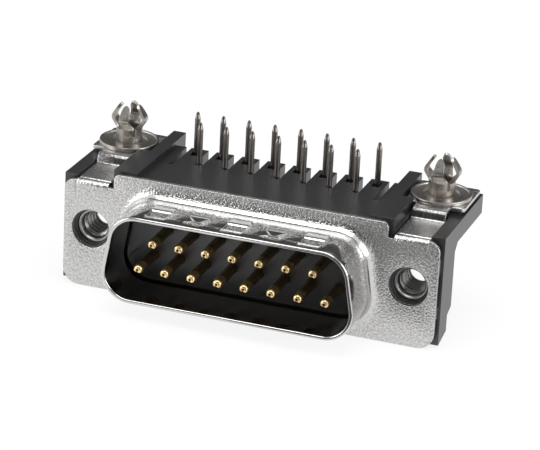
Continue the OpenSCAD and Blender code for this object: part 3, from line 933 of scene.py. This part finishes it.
def add_floor():
    """A plain pale floor just under the part's lowest edge."""
    material, tree, shader = new_material("floor_paper")
    feed(tree, shader, {"Roughness": 0.9, "Base Color": (0.86, 0.86, 0.86)})
    output = tree.nodes["Material Output"]
    background_light(tree, shader.outputs["BSDF"], output, "ShaderNodeEmission", FLOOR_SHARE)
    reach = (-FLOOR_HALF, FLOOR_HALF)
    floor = new_sheet("floor", flat_sheet(reach, reach, CAD_BOX[0][2] - FLOOR_GAP), material)


def background_light(tree, plain, output, kind, share=1.0):
    """A share of white where the camera, mirrors and glass look, and the plain shading elsewhere."""
    path = tree.nodes.new("ShaderNodeLightPath")
    seen = calc(tree, "MAXIMUM", path.outputs["Is Camera Ray"], path.outputs["Is Glossy Ray"])
    seen = calc(tree, "MAXIMUM", seen, path.outputs["Is Transmission Ray"])
    white = add_node(tree, kind, {"Color": (1.0, 1.0, 1.0), "Strength": 1.0})
    part_white = ramp(tree, seen, 0.0, share)
    mix = add_node(tree, "ShaderNodeMixShader", {0: part_white, 1: plain, 2: white.outputs[0]})
    feed(tree, output, {"Surface": mix.outputs[0]})


def add_cards():
    """Dark cards that only mirror-like rays see: bows behind, above and in front, and a sheet on the floor.

    A bow's point = its distance * (cos rise back, sin rise up), straight across."""
    material, tree, shader = new_material("card_felt")
    feed(tree, shader, {"Base Color": (0.07, 0.07, 0.07), "Roughness": 1.0, "Specular IOR Level": 0.0})
    shapes = {"card_low": flat_sheet(LOW_CARD_X, LOW_CARD_Y, CAD_BOX[0][2])}
    for name, low, high, half in CARD_BOWS:
        across, rise = np.meshgrid([-half, half], np.radians(np.linspace(low, high, 13)))
        shapes[name] = np.stack([across, CARD_DISTANCE * np.cos(rise), CARD_DISTANCE * np.sin(rise)], -1)
    for name, points in shapes.items():
        card = new_sheet(name, points, material)
        card.visible_camera = False
        card.visible_diffuse = False
        card.visible_shadow = False


def add_lights():
    """Soft boxes that face the part: a large one overhead, one at the left and one at the right."""
    for name, place, side, power in LAMPS:
        lamp = bpy.data.lights.new(name, "AREA")
        lamp.size = side
        lamp.energy = power
        obj = bpy.data.objects.new(name, lamp)
        obj.location = place
        obj.rotation_euler = Vector(place).to_track_quat("Z", "Y").to_euler()
        bpy.context.collection.objects.link(obj)


def add_world(stage):
    """Even light from all round, white where the camera, mirrors and glass look."""
    world = bpy.data.worlds.new("studio")
    world.use_nodes = True
    tree = world.node_tree
    plain = tree.nodes["Background"]
    feed(tree, plain, {"Color": (1.0, 1.0, 1.0), "Strength": stage.ambient})
    background_light(tree, plain.outputs[0], tree.nodes["World Output"], "ShaderNodeBackground")
    bpy.context.scene.world = world


def add_camera(context, stage):
    """Camera on a sphere round the opening's centre, stepped sideways and rolled about its own axis."""
    turn, rise, roll = stage.azimuth, stage.elevation, stage.roll
    back = Vector((math.sin(turn) * math.cos(rise), -math.cos(turn) * math.cos(rise), math.sin(rise)))
    right = Vector((math.cos(turn), math.sin(turn), 0.0))
    up = back.cross(right)
    x_axis = right * math.cos(roll) + up * math.sin(roll)
    y_axis = up * math.cos(roll) - right * math.sin(roll)
    lens = bpy.data.cameras.new("camera")
    lens.sensor_width = 36.0
    lens.lens = stage.lens
    lens.clip_start = 0.01
    camera = bpy.data.objects.new("camera", lens)
    place = back * stage.distance + x_axis * stage.across + y_axis * stage.up
    camera.matrix_world = Matrix.Translation(place) @ Matrix((x_axis, y_axis, back)).transposed().to_4x4()
    context.collection.objects.link(camera)
    context.scene.camera = camera


class CONNECTOR_PT_panel(Panel):
    """Lists the finishing steps"""
    bl_idname = "CONNECTOR_PT_panel"
    bl_label = "Connector"
    bl_space_type = "VIEW_3D"
    bl_region_type = "UI"
    bl_category = "Connector"

    def draw(self, context):
        for group in ("connector_metals", "connector_mouldings", "connector_stage"):
            settings = getattr(context.scene, group)
            box = self.layout.box()
            for name in settings.__annotations__:
                box.prop(settings, name)
        for step in STEPS:
            self.layout.operator(step.bl_idname)


STEPS = (CONNECTOR_OT_shell, CONNECTOR_OT_inserts, CONNECTOR_OT_contacts, CONNECTOR_OT_locks,
         CONNECTOR_OT_plates, CONNECTOR_OT_mouldings, CONNECTOR_OT_stage)
CLASSES = (MetalSettings, MouldingSettings, StageSettings, *STEPS, CONNECTOR_PT_panel)
GROUPS = {"connector_metals": MetalSettings, "connector_mouldings": MouldingSettings,
          "connector_stage": StageSettings}


def register():
    for cls in CLASSES:
        bpy.utils.register_class(cls)
    for name, cls in GROUPS.items():
        setattr(bpy.types.Scene, name, PointerProperty(type=cls))


def unregister():
    for name in GROUPS:
        delattr(bpy.types.Scene, name)
    for cls in reversed(CLASSES):
        bpy.utils.unregister_class(cls)


def main():
    register()
    bpy.ops.connector.shell()
    bpy.ops.connector.inserts()
    bpy.ops.connector.contacts()
    bpy.ops.connector.locks()
    bpy.ops.connector.plates()
    bpy.ops.connector.mouldings()
    bpy.ops.connector.stage()


if __name__ == "__main__":
    main()
